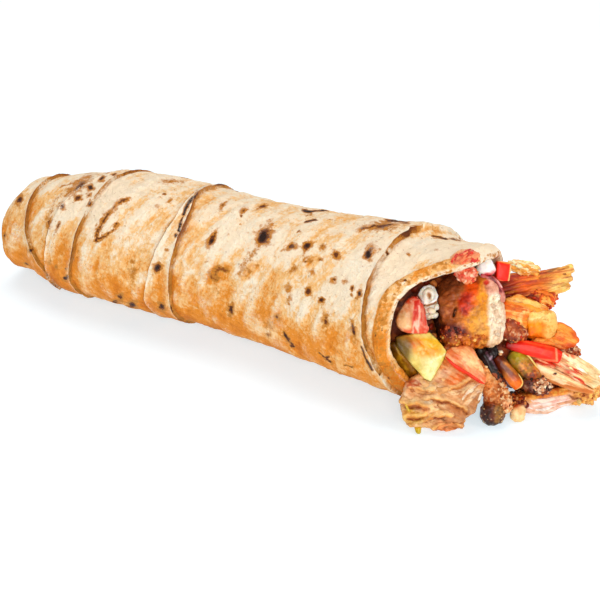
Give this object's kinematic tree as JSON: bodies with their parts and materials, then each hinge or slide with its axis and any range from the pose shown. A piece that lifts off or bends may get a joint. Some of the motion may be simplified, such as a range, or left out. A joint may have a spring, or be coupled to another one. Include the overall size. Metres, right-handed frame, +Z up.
{
  "type": "vegetarian wrap",
  "caption": "Rolled, toasted flatbread wrap lying on its side, with roasted chunks, vegetable strips and sauced crumbs spilling from its open end.",
  "frame": {"origin": "middle of the underside of the whole wrap's bounding box", "axes": "+X along the roll towards its open end, +Y to the far side, +Z up; the wrap lies on its side"},
  "size_m": [0.2874, 0.0758, 0.0716],
  "materials": {
    "seared": "matte",
    "cucumber": "satin",
    "pink_flesh": "satin",
    "tomato": "satin",
    "roast": "matte",
    "red_pepper": "satin",
    "green": "satin",
    "carrot": "satin",
    "dark_skin": "satin",
    "crumb": "matte",
    "cream": "satin",
    "pale_strip": "matte",
    "sauced": "satin",
    "yellow": "satin",
    "orange": "matte",
    "onion": "satin",
    "pink_sauce": "satin",
    "bread": "matte"
  },
  "bodies": {
    "root": {"seared_chunk": "seared", "cucumber_wedge": "cucumber", "pink_wedge": "pink_flesh", "tomato_slice": "tomato", "flaky_folds": "roast", "roast_slice": "roast", "red_pepper_strip": "red_pepper", "green_pepper_piece": "green", "carrot_strip": "carrot", "aubergine_strips": "dark_skin", "crumbed_strip": "crumb", "mushroom_end": "dark_skin", "crusted_slice": "roast", "small_pale_block": "cream", "long_pale_strip": "pale_strip", "cream_strip_fan": "pale_strip", "soaked_shreds": "sauced", "minced_cluster": "sauced", "yellow_chunk": "yellow", "orange_wedge": "orange", "pointed_slice": "roast", "pulled_bundle": "orange", "crisp_mass": "orange", "yellow_rag": "yellow", "red_pepper_cube": "red_pepper", "cream_dollop": "cream", "onion_sliver": "onion", "pink_sauce_lobe": "pink_sauce", "pink_shreds": "pink_sauce", "white_crumbs": "cream", "soaked_inner_fold": "green", "crumb_mass_left": "crumb", "crumb_mass_right": "crumb", "green_shred": "green", "far_roast_slice": "roast", "far_green_wedge": "green", "far_seared_piece": "seared", "filling_core": "sauced", "flatbread": "bread"}
  },
  "joints": []
}
